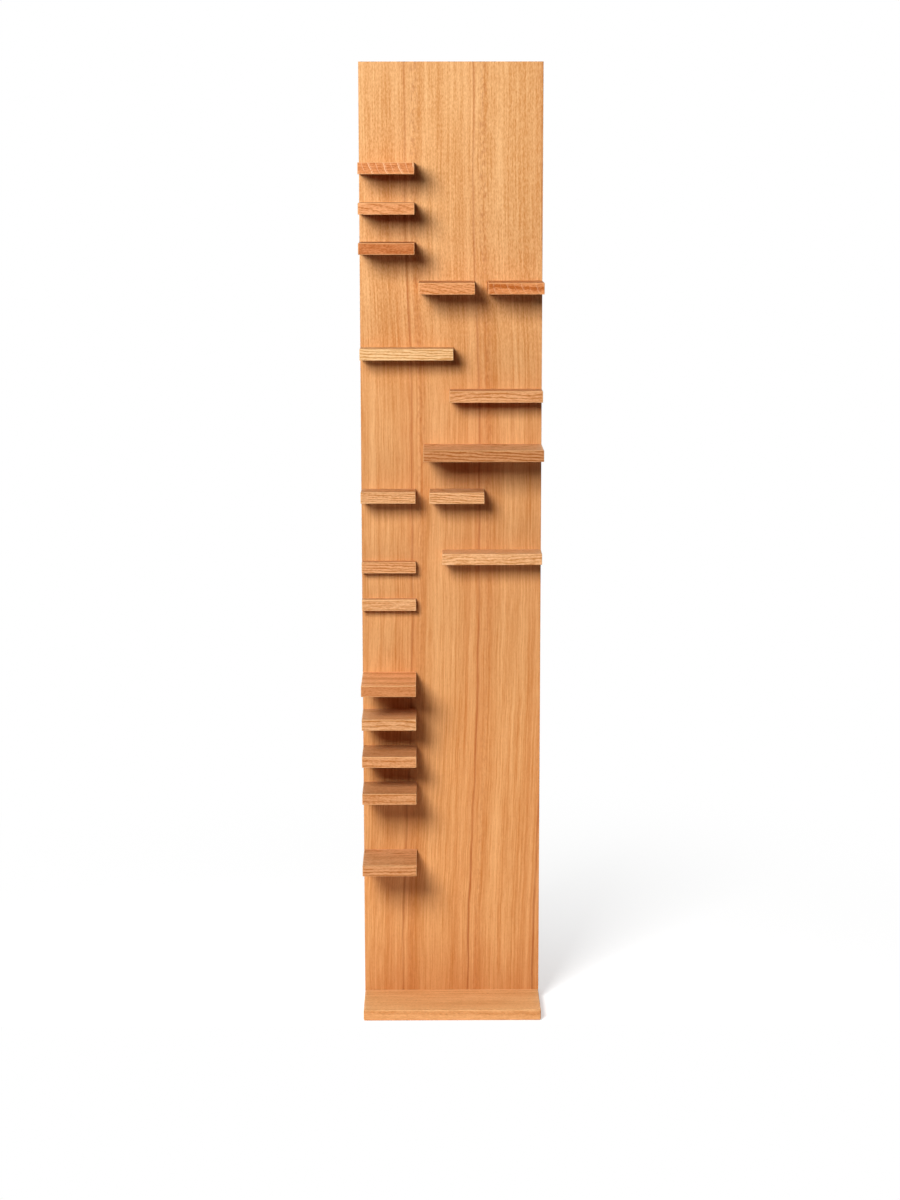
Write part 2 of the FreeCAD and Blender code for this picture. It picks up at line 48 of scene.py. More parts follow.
MM = 1000.0  # millimetres in a metre
MEAN = 0.5  # what noise gives on average
WHITE: Colour = (1.0, 1.0, 1.0)
BOUNCE_TINT: Colour = (0.7, 0.63, 0.72)  # what wood keeps of its colour where it only lights other wood
PORE_EDGE: Pair = (0.6, 0.7)  # noise below the first is whole wood, above the second an open pore
SEED_LEAN = 1.7  # keeps the shifts of two seeds out of line


def linear(red: int, green: int, blue: int) -> Colour:
    """Turns a colour as it is shown into scene-linear light.

    Args:
        red, green, blue: The colour as it is shown, 0 to 255.

    Returns:
        The same colour as linear values from 0 to 1.
    """
    def one(value: int) -> float:
        """One channel, by the usual display curve."""
        v = value / 255
        return v / 12.92 if v <= 0.04045 else ((v + 0.055) / 1.055) ** 2.4

    return one(red), one(green), one(blue)


@dataclass(frozen=True)
class Mark:
    """One kind of mark in wood or metal.

    Attributes:
        lengths: Its size along each axis, in millimetres.
        depth: How strongly it shows.
        detail: How many finer layers it has.
    """

    lengths: Triple
    depth: float = 1.0
    detail: float = 1.0


class Graph:
    """A node tree under construction, with a short method for each kind of node it needs."""

    def __init__(self, tree: bpy.types.NodeTree) -> None:
        """Starts on an emptied tree.

        Args:
            tree: The tree of a material, a world or a node group.
        """
        self.tree = tree
        tree.nodes.clear()

    def node(self, kind: str, *values: object, **settings: object) -> Node:
        """Adds a node.

        Args:
            kind: Blender's name of the node type.
            values: What its first inputs get, in their order.
            settings: Properties to set on it.

        Returns:
            The new node.
        """
        made = self.tree.nodes.new(kind)
        for name, value in settings.items():
            setattr(made, name, value)
        for socket, value in zip(made.inputs, values):
            self.feed(socket, value)
        return made

    def feed(self, socket: Socket, value: object) -> None:
        """Links an output to the socket, or sets its value.

        Args:
            socket: The input to feed.
            value: Another node's output, a number, a vector or a colour.
        """
        if isinstance(value, Socket):
            self.tree.links.new(value, socket)
        elif socket.type == "RGBA":
            socket.default_value = (*value, 1.0)
        else:
            socket.default_value = value

    def math(self, operation: str, a: Value, b: Value = 0.0, c: Value = 0.0) -> Socket:
        """A sum of up to three numbers, by the Math node's operation."""
        return self.node("ShaderNodeMath", a, b, c, operation=operation).outputs[0]

    def total(self, *terms: Value) -> Socket:
        """Adds up any number of terms.

        Args:
            terms: At least two values.

        Returns:
            Their sum.
        """
        running = terms[0]
        for term in terms[1:]:
            running = self.math("ADD", running, term)
        return running

    def scaled(self, value: Value, factor: Value, middle: float = 0.0) -> Socket:
        """Scales what a value stands above a middle: (value - middle) x factor.

        Args:
            value: What is scaled.
            factor: How much by.
            middle: The value that gives nothing.

        Returns:
            The scaled difference.
        """
        above = self.math("SUBTRACT", value, middle) if middle else value
        return self.math("MULTIPLY", above, factor)

    def distance(self, a: Value, b: Value) -> Socket:
        """How far a point with these two coordinates is from the origin."""
        return self.math("SQRT", self.total(self.scaled(a, a), self.scaled(b, b)))

    def ramp(self, value: Value, low: float, high: float, start: float = 0, end: float = 1) -> Socket:
        """Eases smoothly from start to end while value goes from low to high.

        Args:
            value: What is looked at.
            low, high: Where the change begins and ends, either way round.
            start, end: What it gives at low and at high.

        Returns:
            The eased value.
        """
        made = self.node("ShaderNodeMapRange", interpolation_type="SMOOTHSTEP")
        if low > high:
            low, high, start, end = high, low, end, start
        given = {"Value": value, "From Min": low, "From Max": high, "To Min": start, "To Max": end}
        for name, number in given.items():
            self.feed(made.inputs[name], number)
        return made.outputs["Result"]

    def hill(self, value: Value, low: float, peak: float, high: float) -> Socket:
        """The height of a hill: 0 up to low, 1 at the peak, 0 again from high on."""
        return self.scaled(self.ramp(value, low, peak), self.ramp(value, peak, high, 1.0, 0.0))

    def parts(self, vector: Socket) -> tuple[Socket, ...]:
        """The three numbers of a vector."""
        return tuple(self.node("ShaderNodeSeparateXYZ", vector).outputs)

    def vector(self, x: Value, y: Value, z: Value) -> Socket:
        """A vector of three numbers."""
        return self.node("ShaderNodeCombineXYZ", x, y, z).outputs[0]

    def vector_math(self, operation: str, a: object, b: object) -> Socket:
        """A sum of two vectors, part by part, by the Vector Math node's operation."""
        return self.node("ShaderNodeVectorMath", a, b, operation=operation).outputs[0]

    def noise(self, place: Socket, mark: Mark, seed: Value) -> Socket:
        """Smooth noise with its own length along each axis.

        Args:
            place: Where, in millimetres.
            mark: The kind of mark that it makes.
            seed: Shifts the noise to a fresh part of its field.

        Returns:
            The noise, about MEAN on average.
        """
        spread = self.vector_math("MULTIPLY", place, tuple(1 / length for length in mark.lengths))
        moved = self.vector_math("ADD", spread, self.vector(seed, self.scaled(seed, SEED_LEAN), seed))
        made = self.node("ShaderNodeTexNoise", moved, noise_dimensions="3D")
        made.inputs["Scale"].default_value = 1.0
        made.inputs["Detail"].default_value = mark.detail
        return made.outputs[0]

    def swing(self, noise: Socket, mark: Mark) -> Socket:
        """A mark's noise, swinging about nothing as far as the mark is deep."""
        return self.scaled(noise, mark.depth, MEAN)

    def mix(self, share: Value, a: object, b: object, how: str = "MIX") -> Socket:
        """Mixes two colours.

        Args:
            share: How much of the second one, 0 to 1.
            a, b: The colours.
            how: The Mix node's way of blending.

        Returns:
            The mixed colour.
        """
        made = self.node("ShaderNodeMix", data_type="RGBA", blend_type=how, clamp_factor=True)
        self.feed(made.inputs[0], share)
        self.feed(made.inputs[6], a)
        self.feed(made.inputs[7], b)
        return made.outputs[2]

    def shaders(self, share: Value, a: Node, b: Node) -> Node:
        """Mixes two shaders, with share, 0 to 1, of the second one."""
        return self.node("ShaderNodeMixShader", share, a.outputs[0], b.outputs[0])

    def place_mm(self) -> Socket:
        """The point being shaded, in millimetres of the bookshelf's own frame."""
        made = self.node("ShaderNodeTexCoord")
        return self.vector_math("MULTIPLY", made.outputs["Object"], (MM, MM, MM))

    def relief(self, height_mm: Socket) -> Socket:
        """Turns a height into a bump.

        Args:
            height_mm: The height, in millimetres.

        Returns:
            A normal that follows it.
        """
        made = self.node("ShaderNodeBump")
        made.inputs["Strength"].default_value = 1.0
        made.inputs["Distance"].default_value = 1 / MM
        self.feed(made.inputs["Height"], height_mm)
        return made.outputs["Normal"]


def new_group(name: str, inputs: Sequence[tuple[str, str]], outputs: Sequence[tuple[str, str]]) -> Graph:
    """Starts a node group.

    Args:
        name: Its name.
        inputs, outputs: Name and socket type ("Float", "Vector" or "Color") of each socket.

    Returns:
        A graph on the empty group.
    """
    tree = bpy.data.node_groups.new(name, "ShaderNodeTree")
    for way, sockets in (("INPUT", inputs), ("OUTPUT", outputs)):
        for socket_name, kind in sockets:
            tree.interface.new_socket(name=socket_name, in_out=way, socket_type=f"NodeSocket{kind}")
    return Graph(tree)


def surface(name: str, metallic: float = 0.0, specular: float = 0.1) -> tuple[Material, Graph, Node]:
    """Starts a material on one Principled shader.

    Args:
        name: The material's name.
        metallic: 1 for bare metal.
        specular: Strength of the plain reflection.

    Returns:
        The material, its graph and the shader node.
    """
    material = bpy.data.materials.new(name)
    material.use_nodes = True
    graph = Graph(material.node_tree)
    shader = graph.node("ShaderNodeBsdfPrincipled")
    shader.inputs["Metallic"].default_value = metallic
    shader.inputs["Specular IOR Level"].default_value = specular
    graph.node("ShaderNodeOutputMaterial", shader.outputs[0])
    return material, graph, shader


def held_back(graph: Graph, colour: Socket) -> Socket:
    """Holds a colour back where wood only lights other wood, so that shadows stay deep.

    Args:
        graph: The material's graph.
        colour: The wood's colour.

    Returns:
        The colour for the shader.
    """
    only_lights = graph.node("ShaderNodeLightPath").outputs["Is Diffuse Ray"]
    return graph.mix(only_lights, colour, graph.mix(1.0, colour, BOUNCE_TINT, "MULTIPLY"))


def coat(graph: Graph, shader: Node, colour: Socket, roughness: Socket, normal: Socket) -> None:
    """Gives a shader its looks.

    Args:
        graph: The material's graph.
        shader: Its Principled shader.
        colour, roughness, normal: What the shader gets.
    """
    for name, value in (("Base Color", colour), ("Roughness", roughness), ("Normal", normal)):
        graph.feed(shader.inputs[name], value)


def dress(node: str, material: Material) -> None:
    """Gives a node one material all over, and leaves its mesh as it is.

    Args:
        node: Name of the node.
        material: Its finish.
    """
    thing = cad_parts[node]
    for slot in thing.material_slots:
        slot.material = material
    log.info("%s is dressed in %s", node, material.name)


# --- finishes ---


class Shade(Enum):
    """Shades of oiled oak: latewood first, then the darker, open-pored earlywood."""

    STRAW = (linear(243, 199, 145), linear(203, 143, 80))
    WHEAT = (linear(235, 175, 116), linear(191, 120, 58))
    HONEY = (linear(234, 179, 128), linear(190, 123, 63))
    AMBER = (linear(232, 171, 119), linear(188, 116, 57))
    COPPER = (linear(233, 164, 109), linear(191, 111, 50))
    RUSSET = (linear(230, 153, 95), linear(185, 98, 37))
    UMBER = (linear(211, 136, 83), linear(165, 84, 28))


@dataclass(frozen=True)
class BoardCut:
    """How one board was sawn from the tree, and its shade.

    Attributes:
        shade: Colour of the board.
        pith: From the board's middle to the tree's middle, towards the rear and upwards, in millimetres.
        ring: Width of one year's growth, in millimetres.
        seed: Which stretch of timber it is.
        slope: Rise of the grain along the board.
        figure: How far the grain wanders, in millimetres.
        lines: Strength of the dark lines between the years.
        rays: Strength of the pale rays that cross the grain.
        tone: How light the whole board is, 1 for its shade as it stands.
        painted_edge_light: How light its edges are painted beside its two faces: painted light and shade
            for how the lamp falls on its front edge and on its top.
        fibres: Strength of the fine streaks along the grain.
        broad: Strength of lines and rays on its two faces beside that on its edges.
        wear_and_highlight: How far its sharp edges are made pale, partly rub wear and partly a painted
            highlight along the arris.
    """

    shade: Shade
    pith: Pair
    ring: float
    seed: float
    slope: float = 0.0
    figure: float = 4.0
    lines: float = 1.0
    rays: float = 0.0
    tone: float = 1.0
    painted_edge_light: float = 1.0
    fibres: float = 1.0
    broad: float = 0.5
    wear_and_highlight: float = 0.6


class SolidOak:
    """Oiled solid oak: growth rings about the pith, fibres, open pores, rays, and pale edges that are
    partly rub wear and partly a painted highlight.
    """

    INPUTS = (
        ("Place", "Vector"), ("Edge", "Float"), ("Light", "Float"), ("Pith", "Vector"),
        ("Ring", "Float"), ("Seed", "Float"), ("Slope", "Float"), ("Figure", "Float"),
        ("Lines", "Float"), ("Rays", "Float"), ("Fibres", "Float"), ("Wear_And_Highlight", "Float"),
        ("Pale", "Color"), ("Dark", "Color"),
    )
    OUTPUTS = (("Colour", "Color"), ("Roughness", "Float"), ("Normal", "Vector"))

    # marks by their size along the grain, towards the rear and upwards
    WANDER = Mark((170, 60, 60))
    RIPPLE = Mark((24, 9, 9), 0.6)
    CLOUD = Mark((230, 26, 26), 0.6)
    STREAK = Mark((28, 2.3, 2.3), 1.4, detail=2.0)
    FIBRE = Mark((5.0, 1.5, 1.5), 1.55)
    PORE = Mark((5.5, 0.3, 0.3), 0.45, detail=0.0)
    RAY_BEND = Mark((30, 12, 12), 5.0)
    RAY_GAP = Mark((9, 7, 7))
    FLECK = Mark((3.0, 22, 0.7), 0.25)

    # marks counted in years instead
    UNEVEN = Mark((4.3, 1, 1), 1.6)  # how the rings' width changes
    VINTAGE = Mark((0.37, 1, 1))  # how dark each year came out
    VINTAGE_RANGE: Change = (0.3, 0.65, 0.6, 1.1)
    EARLY_HILL: Triple = (0.0, 0.22, 0.62)  # where a year's darker wood begins, peaks and ends
    EARLY_MEAN = 0.22
    EARLY_DEPTH = 0.75

    # rays cut across as bowed lines, the same three in every spacing, the last two of them faint
    RAY_SPACING = 25.0  # millimetres
    RAY_START = 34.6  # millimetres
    RAY_STEP = 2.95  # millimetres from one seed to the next
    RAY_LEAN = 0.42
    RAY_BOW = -0.012  # per millimetre
    RAY_HILLS: tuple[Triple, ...] = ((0.39, 0.43, 0.47), (0.49, 0.52, 0.55), (0.91, 0.945, 0.98))
    RAY_FAINT = 0.5
    RAY_DEPTH = 0.8
    GAP_EDGE: Pair = (0.25, 0.42)
    FLECK_EDGE: Pair = (0.62, 0.74)

    GROUND = 0.42  # share of dark wood where no mark shows
    PORES: Pair = (0.7, 0.3)  # pores that come with the earlywood, and pores all over
    WEAR_AND_HIGHLIGHT_REACH: Pair = (0.7, 1.7)  # millimetres from the arris where the pale edge, wear with a painted highlight, is full and where it is gone
    WEAR_AND_HIGHLIGHT_RAGGED = 0.8  # millimetres
    RICHNESS: Pair = (1.35, 1.7)  # how much faster green and blue darken than red
    SHEEN = 0.46  # roughness where no mark shows
    FACE_TURN: Pair = (0.3, -0.3)  # millimetres about the arris where an edge turns into a face
    PORE_TINT: Colour = (0.42, 0.36, 0.30)
    RAY_COLOUR: Colour = linear(254, 210, 164)
    # colour of the pale edges: rub wear and a painted highlight along the arris
    WEAR_AND_HIGHLIGHT_COLOUR: Colour = linear(255, 212, 150)

    def __init__(self) -> None:
        """Builds the two groups that every board shares."""
        self.edges = self._edge_group()
        self.timber = self._timber_group()

    def _edge_group(self) -> bpy.types.NodeTree:
        """Where a point on a board's surface lies on the board.

        Returns:
            A group from a point and the board's two corners, in millimetres, to the distance from the
            nearest edge and to 1 on the two broad faces, 0 on the edges.
        """
        graph = new_group("board_edges", (("Point", "Vector"), ("Low", "Vector"), ("High", "Vector")),
                          (("Edge", "Float"), ("Face", "Float")))
        given = graph.node("NodeGroupInput").outputs
        from_low = graph.vector_math("SUBTRACT", given["Point"], given["Low"])
        from_high = graph.vector_math("SUBTRACT", given["High"], given["Point"])
        x, y, z = graph.parts(graph.vector_math("MINIMUM", from_low, from_high))
        least = graph.math("MINIMUM", graph.math("MINIMUM", x, y), z)
        most = graph.math("MAXIMUM", graph.math("MAXIMUM", x, y), z)
        second = graph.math("SUBTRACT", graph.math("SUBTRACT", graph.total(x, y, z), least), most)
        on_face = graph.ramp(graph.math("SUBTRACT", z, graph.math("MINIMUM", x, y)), *self.FACE_TURN)
        graph.node("NodeGroupOutput", second, on_face)
        return graph.tree

    def _earlywood(self, graph: Graph, given: bpy.types.NodeOutputs) -> Socket:
        """The dark part of each year, in rings about the pith that wander off the board's own lines.

        Args:
            graph: The timber's graph.
            given: Outputs of its input node.

        Returns:
            How much earlywood there is, about 0 to 1.
        """
        place, seed = given["Place"], given["Seed"]
        along, back, up = graph.parts(place)
        pith_back, pith_up, _ = graph.parts(given["Pith"])
        wide, close = given["Figure"], graph.scaled(given["Figure"], self.RIPPLE.depth)
        wander = graph.scaled(graph.noise(place, self.WANDER, seed), wide, MEAN)
        ripple = graph.scaled(graph.noise(place, self.RIPPLE, seed), close, MEAN)
        sloped = graph.scaled(along, given["Slope"])
        off_back = graph.total(back, graph.scaled(pith_back, -1.0), wander)
        off_up = graph.total(up, graph.scaled(pith_up, -1.0), sloped, wander, ripple)
        years = graph.math("DIVIDE", graph.distance(off_back, off_up), given["Ring"])
        uneven = graph.noise(graph.vector(years, seed, 0.0), self.UNEVEN, seed)
        rings = graph.math("ADD", years, graph.swing(uneven, self.UNEVEN))
        vintage = graph.noise(graph.vector(graph.math("FLOOR", rings), 0.0, seed), self.VINTAGE, seed)
        early = graph.hill(graph.math("FRACT", rings), *self.EARLY_HILL)
        return graph.scaled(early, graph.ramp(vintage, *self.VINTAGE_RANGE))

    def _rays(self, graph: Graph, given: bpy.types.NodeOutputs) -> Socket:
        """Thin pale sheets that start at the pith, cut across as bowed lines, and short flecks.

        Args:
            graph: The timber's graph.
            given: Outputs of its input node.

        Returns:
            How much of a ray shows.
        """
        place, seed = given["Place"], given["Seed"]
        along, _, up = graph.parts(place)
        bow = graph.total(
            along, self.RAY_START, graph.scaled(seed, self.RAY_STEP), graph.scaled(up, self.RAY_LEAN),
            graph.scaled(graph.scaled(up, up), self.RAY_BOW),
            graph.swing(graph.noise(place, self.RAY_BEND, seed), self.RAY_BEND))
        line = graph.math("FRACT", graph.math("DIVIDE", bow, self.RAY_SPACING))
        clear, *faint = (graph.hill(line, *hill) for hill in self.RAY_HILLS)
        lines = graph.total(clear, *(graph.scaled(hill, self.RAY_FAINT) for hill in faint))
        broken = graph.scaled(lines, graph.ramp(graph.noise(place, self.RAY_GAP, seed), *self.GAP_EDGE))
        fleck = graph.ramp(graph.noise(place, self.FLECK, seed), *self.FLECK_EDGE)
        both = graph.total(graph.scaled(broken, self.RAY_DEPTH), graph.scaled(fleck, self.FLECK.depth))
        return graph.scaled(both, given["Rays"])

    def _timber_group(self) -> bpy.types.NodeTree:
        """The timber itself, with its grain along the first axis of Place.

        Returns:
            A group from a place in the board to colour, roughness and relief.
        """
        graph = new_group("solid_oak_timber", self.INPUTS, self.OUTPUTS)
        given = graph.node("NodeGroupInput").outputs
        place, seed, pale, dark = given["Place"], given["Seed"], given["Pale"], given["Dark"]
        early = self._earlywood(graph, given)

        # fibres, streaks and pores, all stretched along the grain
        marks = (self.CLOUD, self.STREAK, self.FIBRE)
        cloud, streak, fibre = (graph.noise(place, mark, seed) for mark in marks)
        pore = graph.scaled(graph.ramp(graph.noise(place, self.PORE, seed), *PORE_EDGE),
                            graph.math("MULTIPLY_ADD", early, *self.PORES))
        years = graph.scaled(early, self.EARLY_DEPTH, self.EARLY_MEAN)
        fine = graph.total(graph.swing(streak, self.STREAK), graph.swing(fibre, self.FIBRE))
        share = graph.total(self.GROUND, graph.scaled(years, given["Lines"]),
                            graph.scaled(fine, given["Fibres"]), graph.swing(cloud, self.CLOUD))
        wood = graph.mix(share, pale, dark)
        open_pore = graph.mix(1.0, dark, self.PORE_TINT, "MULTIPLY")
        wood = graph.mix(graph.scaled(pore, self.PORE.depth), wood, open_pore)
        wood = graph.mix(self._rays(graph, given), wood, self.RAY_COLOUR)

        # edges paler and smoother: partly rub wear, partly a painted highlight along the arris
        from_edge = graph.math("ADD", given["Edge"], graph.scaled(streak, self.WEAR_AND_HIGHLIGHT_RAGGED, MEAN))
        edge_wear_and_highlight = graph.ramp(from_edge, *self.WEAR_AND_HIGHLIGHT_REACH, 1.0, 0.0)
        edge_wear_and_highlight_wood = graph.mix(0.5, pale, self.WEAR_AND_HIGHLIGHT_COLOUR)
        wood = graph.mix(graph.scaled(edge_wear_and_highlight, given["Wear_And_Highlight"]), wood, edge_wear_and_highlight_wood)

        # a darker board is a richer one too
        green, blue = (graph.math("POWER", given["Light"], power) for power in self.RICHNESS)
        colour = graph.vector_math("MULTIPLY", wood, graph.vector(given["Light"], green, blue))
        roughness = graph.total(self.SHEEN, graph.scaled(early, 0.10), graph.scaled(pore, 0.16),
                                graph.scaled(edge_wear_and_highlight, -0.08), graph.scaled(cloud, 0.14, MEAN))
        height = graph.total(graph.scaled(pore, -0.07), graph.scaled(early, -0.02),
                             graph.scaled(fibre, 0.02, MEAN))
        graph.node("NodeGroupOutput", colour, roughness, graph.relief(height))
        return graph.tree

    def material(self, node: str, cut: BoardCut, grain: str = "X") -> Material:
        """The finish of one board.

        Args:
            node: The board's node.
            cut: How it was sawn.
            grain: The axis that its grain follows, "X" or "Z".

        Returns:
            A material of its own for that board.
        """
        low, high = (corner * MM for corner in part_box(node))
        material, graph, shader = surface(f"oak_{node}")
        point = graph.place_mm()
        edges = graph.node("ShaderNodeGroup", point, low, high, node_tree=self.edges)
        x, y, z = graph.parts(graph.vector_math("SUBTRACT", point, (low + high) / 2))
        face = edges.outputs["Face"]
        marks = graph.math("MULTIPLY_ADD", face, cut.broad - 1.0, 1.0)
        pale, dark = cut.shade.value
        settings = {
            "Place": graph.vector(x, y, z) if grain == "X" else graph.vector(z, y, x),
            "Edge": edges.outputs["Edge"],
            # the board's own tone, with its edges painted lighter or darker than its two faces: painted
            # light and shade for how the lamp falls on fronts and tops
            "Light": graph.math("MULTIPLY_ADD", face, cut.tone * (1.0 - cut.painted_edge_light), cut.tone * cut.painted_edge_light),
            "Pith": (*cut.pith, 0.0),
            "Lines": graph.scaled(marks, cut.lines),
            "Rays": graph.scaled(marks, cut.rays),
            "Pale": pale,
            "Dark": dark,
        }
        for name in ("Ring", "Seed", "Slope", "Figure", "Fibres", "Wear_And_Highlight"):
            settings[name] = getattr(cut, name.lower())
        timber = graph.node("ShaderNodeGroup", node_tree=self.timber)
        for name, value in settings.items():
            graph.feed(timber.inputs[name], value)
        colour, roughness, normal = timber.outputs
        coat(graph, shader, held_back(graph, colour), roughness, normal)
        return material


@dataclass(frozen=True)
class LeafVeneer:
    """Slip-matched oak veneer: the same leaf laid side by side, its grain upright.

    Attributes:
        leaf: Width of one leaf, in millimetres.
        slip: How far each leaf is slipped along the grain and changed beside the last, in millimetres.
        seam_top: X of a leaf's dark line at the top of the panel, in millimetres.
        sways: How that line drifts on its way down: between which two heights, and how far.
        waver: How far the line wavers, by height, in millimetres.
        seed: Which flitch it was cut from.
        bands: Broad bands of every leaf: middle and half width from the dark line, and darkness.
        band_shift: How far the bands wander, in millimetres.
        tone_heights: Heights of the tones of crown, waist and root, in millimetres.
        crown, waist, root: Pale and dark wood at the panel's top, at its middle and at its foot.
        warm, knot: The redder wood beside the dark lines, also the colour of the painted shade at the
            foot, and its knotty flecks.
        line: The dark lines and the pores.
        warm_reach, line_reach: How far from the line the redder wood and the line begin and are full.
        knot_hill: Where the knotty flecks begin, peak and end, right of the line, in millimetres.
        clouding, mottling: Strength of the broad and of the finest flecks, by height.
        cloud_hill, cloud_lift: Where the wood is darker as a whole, in millimetres, and by how much.
        warmth: Strength of the redder wood, by height, in two parts that add up.
        foot_heights, foot_painted_shade: Where the foot is painted darker and redder all over, in
            millimetres, and by how much: painted shade and warm bounce light where the panel meets the
            base plate.
        knots: Strength of the knotty flecks, by height.
        depth: Strength of the dark lines, by height, in two parts that add up.
    """

    # marks by their size across the leaf, through it and along the grain
    WOBBLE = Mark((1, 1, 58))
    CLOUD = Mark((40, 14, 560))
    BAND = Mark((13, 9, 380), 0.24)
    STREAK = Mark((4.8, 4, 280), 0.66)
    FIBRE = Mark((2.3, 2, 170), 1.05)
    HAIR = Mark((1.9, 2, 34), 0.75)
    MOTTLE = Mark((2.0, 2, 5.5), 1.35)
    PORE = Mark((0.35, 1, 6), 0.16, detail=0.0)
    STRENGTH = Mark((60, 9, 240))
    WEAR = Mark((200, 3, 85))
    KNOT = Mark((4.5, 3, 11), detail=2.0)

    # what their noise is eased between, and from what to what
    STRENGTH_RANGE: ClassVar[Change] = (0.3, 0.7, 0.55, 1.35)
    WARM_RANGE: ClassVar[Change] = (0.35, 0.6, 0.35, 1.0)
    WEAR_RANGE: ClassVar[Change] = (0.3, 0.6, 0.35, 1.0)
    KNOT_EDGE: ClassVar[Pair] = (0.42, 0.72)
    SHEEN: ClassVar[float] = 0.45  # roughness where no mark shows
    APART: ClassVar[float] = 0.004  # how far from alike the lines waver, per millimetre across

    leaf: float = 120.0
    slip: Pair = (17.0, 2.4)
    seam_top: float = -81.0
    sways: tuple[Triple, ...] = ((1480.0, 1080.0, 11.0), (760.0, 0.0, -21.0))
    waver: Change = (1300.0, 700.0, 2.4, 4.6)
    seed: float = 3.1
    bands: tuple[Triple, ...] = (
        (7.0, 6.0, -0.08), (22.0, 12.0, 0.16), (48.0, 14.0, -0.20), (71.0, 9.0, -0.07),
        (91.0, 13.0, 0.11), (109.0, 9.0, -0.08))
    band_shift: float = 14.0
    tone_heights: Triple = (1700.0, 900.0, 400.0)
    crown: tuple[Colour, Colour] = (linear(248, 193, 133), linear(212, 144, 79))
    waist: tuple[Colour, Colour] = (linear(235, 177, 119), linear(198, 128, 67))
    root: tuple[Colour, Colour] = (linear(245, 183, 120), linear(208, 132, 67))
    warm: Colour = linear(212, 128, 70)
    knot: Colour = linear(176, 98, 50)
    line: Colour = linear(158, 66, 8)
    warm_reach: Pair = (38.0, 8.0)
    line_reach: Pair = (3.4, 0.5)
    knot_hill: Triple = (5.0, 15.0, 29.0)
    clouding: Change = (900.0, 1350.0, 0.35, 0.75)
    mottling: Change = (1050.0, 1350.0, 0.2, 1.0)
    cloud_hill: Triple = (1080.0, 1200.0, 1380.0)
    cloud_lift: float = 0.15
    warmth: tuple[Change, Change] = ((1500.0, 950.0, 0.06, 0.24), (500.0, 150.0, 0.0, -0.03))
    foot_heights: Pair = (150.0, 30.0)
    foot_painted_shade: float = 0.18
    knots: Change = (700.0, 1200.0, 0.24, 0.5)
    depth: tuple[Change, Change] = ((1600.0, 900.0, 0.36, 0.46), (450.0, 100.0, 0.0, 0.12))

    def _across(self, graph: Graph, x: Socket, z: Socket) -> Socket:
        """How far a point lies right of a leaf's dark line, which drifts and wavers on its way down.

        Args:
            graph: The material's graph.
            x, z: The point, in millimetres.

        Returns:
            The distance, in millimetres.
        """
        place = graph.vector(graph.scaled(x, self.APART), 0.0, z)
        wobble = graph.noise(place, self.WOBBLE, self.seed + 5)
        waver = graph.scaled(wobble, graph.ramp(z, *self.waver), MEAN)
        drift = [graph.ramp(z, high, low, 0.0, -shift) for high, low, shift in self.sways]
        return graph.total(x, -self.seam_top, waver, *drift)

    def _ground(self, graph: Graph, share: Socket, z: Socket) -> Socket:
        """The wood's own colour, whose two tones change from the panel's top to its foot.

        Args:
            graph: The material's graph.
            share: How much dark wood there is.
            z: Height, in millimetres.

        Returns:
            The colour.
        """
        top, middle, low = self.tone_heights
        tones = []
        for crown, waist, root in zip(self.crown, self.waist, self.root):
            upper = graph.mix(graph.ramp(z, top, middle), crown, waist)
            tones.append(graph.mix(graph.ramp(z, middle, low), upper, root))
        return graph.mix(share, *tones)

    def material(self, name: str) -> Material:
        """The finish of one face of the panel.

        Args:
            name: The material's name.

        Returns:
            The material.
        """
        material, graph, shader = surface(name)
        x, _, z = graph.parts(graph.place_mm())
        across = self._across(graph, x, z)
        turns = graph.math("DIVIDE", across, self.leaf)
        leaf = graph.math("FLOOR", turns)
        inside = graph.scaled(graph.math("FRACT", turns), self.leaf)
        near_line = graph.math("PINGPONG", across, self.leaf / 2)

        # every leaf repeats the one before it, slipped a little along the grain and slightly changed
        slip, change = (graph.scaled(leaf, step) for step in self.slip)
        place = graph.vector(inside, change, graph.math("ADD", z, slip))
        cloud = graph.noise(place, self.CLOUD, self.seed)
        band = graph.noise(place, self.BAND, self.seed + 1)
        streak = graph.noise(place, self.STREAK, self.seed + 2)
        fibre = graph.noise(place, self.FIBRE, self.seed + 3)
        hair = graph.noise(place, self.HAIR, self.seed + 8)
        mottle = graph.noise(place, self.MOTTLE, self.seed + 4)
        pore = graph.ramp(graph.noise(place, self.PORE, self.seed + 5), *PORE_EDGE)

        strength = graph.ramp(graph.noise(place, self.STRENGTH, self.seed + 9), *self.STRENGTH_RANGE)
        shifted = graph.math("ADD", inside, graph.scaled(band, self.band_shift, MEAN))
        broad = graph.total(*(
            graph.scaled(graph.hill(shifted, middle - half, middle, middle + half), darkness)
            for middle, half, darkness in self.bands))
        clouded = graph.scaled(graph.swing(cloud, self.CLOUD), graph.ramp(z, *self.clouding))
        darker = graph.scaled(graph.hill(z, *self.cloud_hill), self.cloud_lift)
        mottled = graph.scaled(graph.swing(mottle, self.MOTTLE), graph.ramp(z, *self.mottling))
        share = graph.total(
            0.5, graph.scaled(broad, strength), graph.math("ADD", clouded, darker), mottled,
            graph.swing(band, self.BAND), graph.swing(streak, self.STREAK),
            graph.swing(fibre, self.FIBRE), graph.swing(hair, self.HAIR))
        wood = self._ground(graph, share, z)

        # warmer beside the dark lines, more so towards the foot; at the foot itself, painted shade and
        # warm bounce light where the panel meets the base plate
        upper, lower = (graph.ramp(z, *change) for change in self.warmth)
        warm = graph.scaled(graph.ramp(near_line, *self.warm_reach), graph.total(upper, lower))
        uneven = graph.ramp(graph.total(band, graph.scaled(streak, 0.6, MEAN)), *self.WARM_RANGE)
